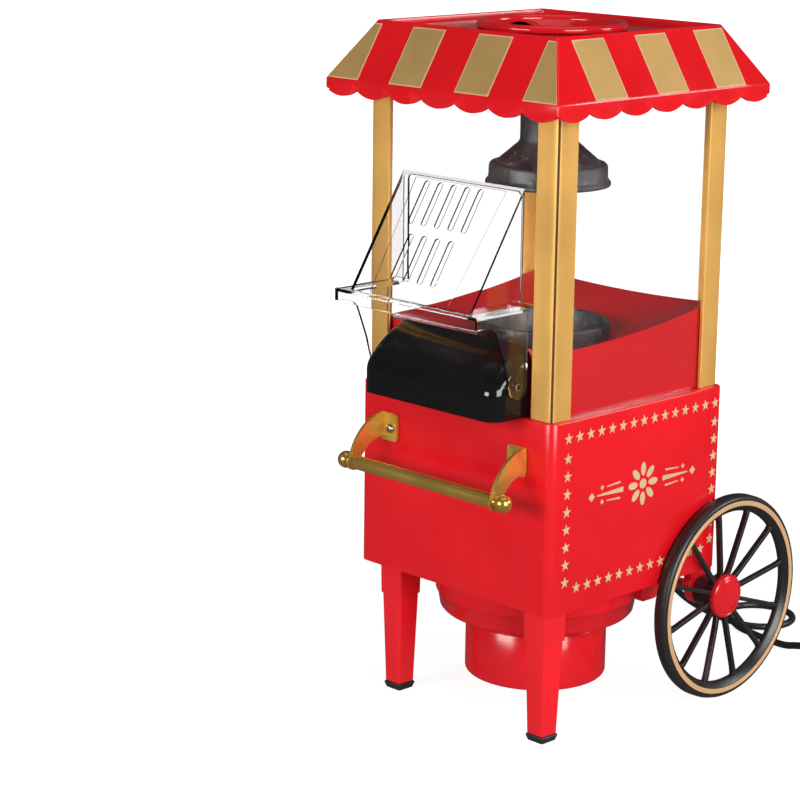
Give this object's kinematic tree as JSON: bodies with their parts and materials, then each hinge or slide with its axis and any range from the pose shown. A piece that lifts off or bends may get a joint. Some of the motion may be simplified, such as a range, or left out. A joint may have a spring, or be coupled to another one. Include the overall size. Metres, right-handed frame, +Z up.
{
  "type": "popcorn cart",
  "caption": "Tabletop hot-air popcorn cart with a glazed cabinet, tilting clear hood, scalloped roof with a lift-out lid, push handle and spoked wheels.",
  "frame": {"origin": "centre of the bounding box of the cart without its cord, at the surface it stands on", "axes": "+Z up, -Y towards the front where the outlet and handle are, +X to the right seen from the front"},
  "size_m": [0.2871, 0.3414, 0.3969],
  "materials": {
    "red_plastic": "gloss",
    "red_wall": "satin",
    "gold_trim": "satin",
    "brass_fittings": "polished",
    "clear_plastic": "gloss",
    "black_plastic": "gloss",
    "black_moulding": "matte",
    "dark_casting": "satin",
    "steel": "satin",
    "chamber_metal": "satin",
    "rubber": "matte"
  },
  "bodies": {
    "cart": {"body_shell": "red_plastic", "base_bowl": "red_plastic", "base_cylinder": "red_plastic", "motor_plate": "black_moulding", "motor": "steel", "chamber_ring": "steel", "heater_duct": "steel", "heater_coil": "steel", "popping_chamber": "chamber_metal", "thermal_cutout": "black_moulding", "pot_collar": "dark_casting", "hopper": "red_wall", "chute": "black_plastic", "post_front_left": "gold_trim", "post_front_right": "gold_trim", "post_rear_left": "gold_trim", "post_rear_right": "gold_trim", "panel_left": "clear_plastic", "panel_right": "clear_plastic", "panel_rear": "clear_plastic", "panel_front": "clear_plastic", "hood_pin_left": "clear_plastic", "hood_pin_right": "clear_plastic", "roof_canopy": "red_plastic", "top_plate": "red_wall", "bell": "dark_casting", "kernel_funnel": "red_wall", "leg_left": "red_plastic", "leg_right": "red_plastic", "foot_pad_left": "rubber", "foot_pad_right": "rubber", "axle_bracket_left": "red_plastic", "axle_bracket_right": "red_plastic", "axle": "steel", "handle_bracket_left": "brass_fittings", "handle_bracket_right": "brass_fittings", "handle_ball_left": "brass_fittings", "handle_ball_right": "brass_fittings", "handle_rod": "brass_fittings", "handle_screw_left": "steel", "handle_screw_right": "steel", "switch_bezel": "black_moulding", "strain_relief": "rubber", "cord_run_down": "rubber", "cord_coil": "rubber", "cord_run_across": "rubber", "plug": "black_moulding"},
    "hood": {"hood": "clear_plastic"},
    "lid": {"lid_cup": "red_plastic"},
    "wheel_left": {"wheel_left": "black_plastic", "hub_cap_left": "red_plastic"},
    "wheel_right": {"wheel_right": "black_plastic", "hub_cap_right": "red_plastic"},
    "fan": {"fan": "black_moulding", "motor_shaft": "steel"},
    "rocker": {"switch_rocker": "black_moulding"}
  },
  "joints": [
    {"name": "hood_tilt", "type": "hinge", "parent": "cart", "child": "hood", "pos_m": [0, -0.09215, 0.208], "axis": [1, 0, 0], "range_deg": [0, 60]},
    {"name": "lid_lift", "type": "slide", "parent": "cart", "child": "lid", "axis": [0, 0, 1], "range_m": [0, 0.06]},
    {"name": "wheel_left_spin", "type": "hinge", "parent": "cart", "child": "wheel_left", "pos_m": [-0.0805, 0.06435, 0.0615], "axis": [1, 0, 0], "continuous": true},
    {"name": "wheel_right_spin", "type": "hinge", "parent": "cart", "child": "wheel_right", "pos_m": [0.0805, 0.06435, 0.0615], "axis": [1, 0, 0], "continuous": true},
    {"name": "fan_spin", "type": "hinge", "parent": "cart", "child": "fan", "pos_m": [0, -0.01265, 0.055], "axis": [0, 0, 1], "continuous": true},
    {"name": "switch_rock", "type": "hinge", "parent": "cart", "child": "rocker", "pos_m": [-0.03, 0.05935, 0.15], "axis": [1, 0, 0], "range_deg": [-12, 0]}
  ]
}
